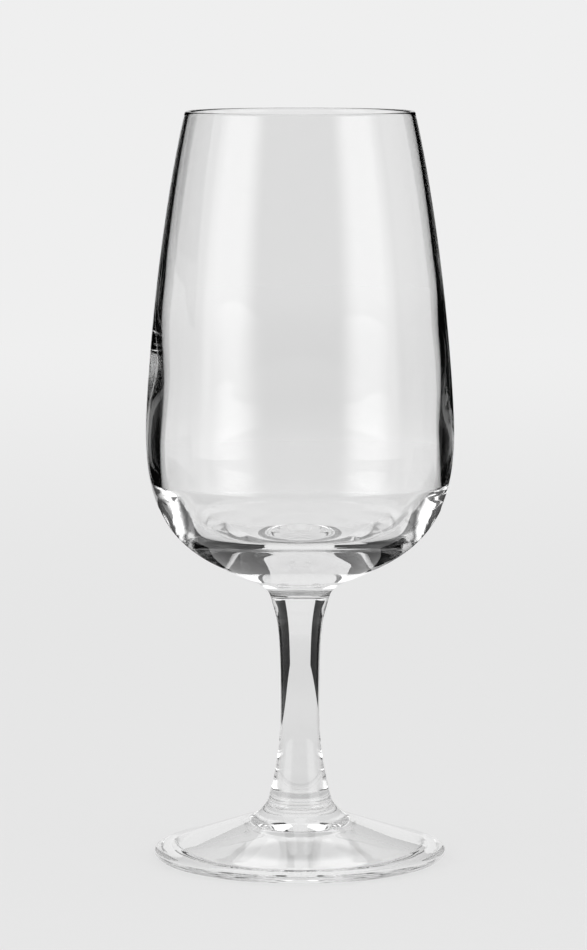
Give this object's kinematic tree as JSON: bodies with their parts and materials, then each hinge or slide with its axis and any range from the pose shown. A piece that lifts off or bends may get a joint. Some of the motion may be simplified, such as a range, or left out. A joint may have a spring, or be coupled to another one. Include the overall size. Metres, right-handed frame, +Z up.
{
  "type": "tasting glass",
  "caption": "Stemmed wine-tasting glass of clear glass: a tall bowl that narrows to a thin rim, on a waisted solid stem and a low conical foot.",
  "frame": {"origin": "on the glass's axis, in the plane that it stands on", "axes": "+Z up along the glass's axis of revolution, from the foot to the rim; +X and +Y are free, since the glass is round"},
  "size_m": [0.0636, 0.0636, 0.155],
  "materials": {
    "bowl_glass": "clear blown glass, fire-polished",
    "stem_glass": "clear drawn glass, fire-polished",
    "foot_glass": "clear pressed glass, fire-polished"
  },
  "bodies": {
    "root": {"bowl": "bowl_glass", "stem": "stem_glass", "foot": "foot_glass"}
  },
  "joints": []
}
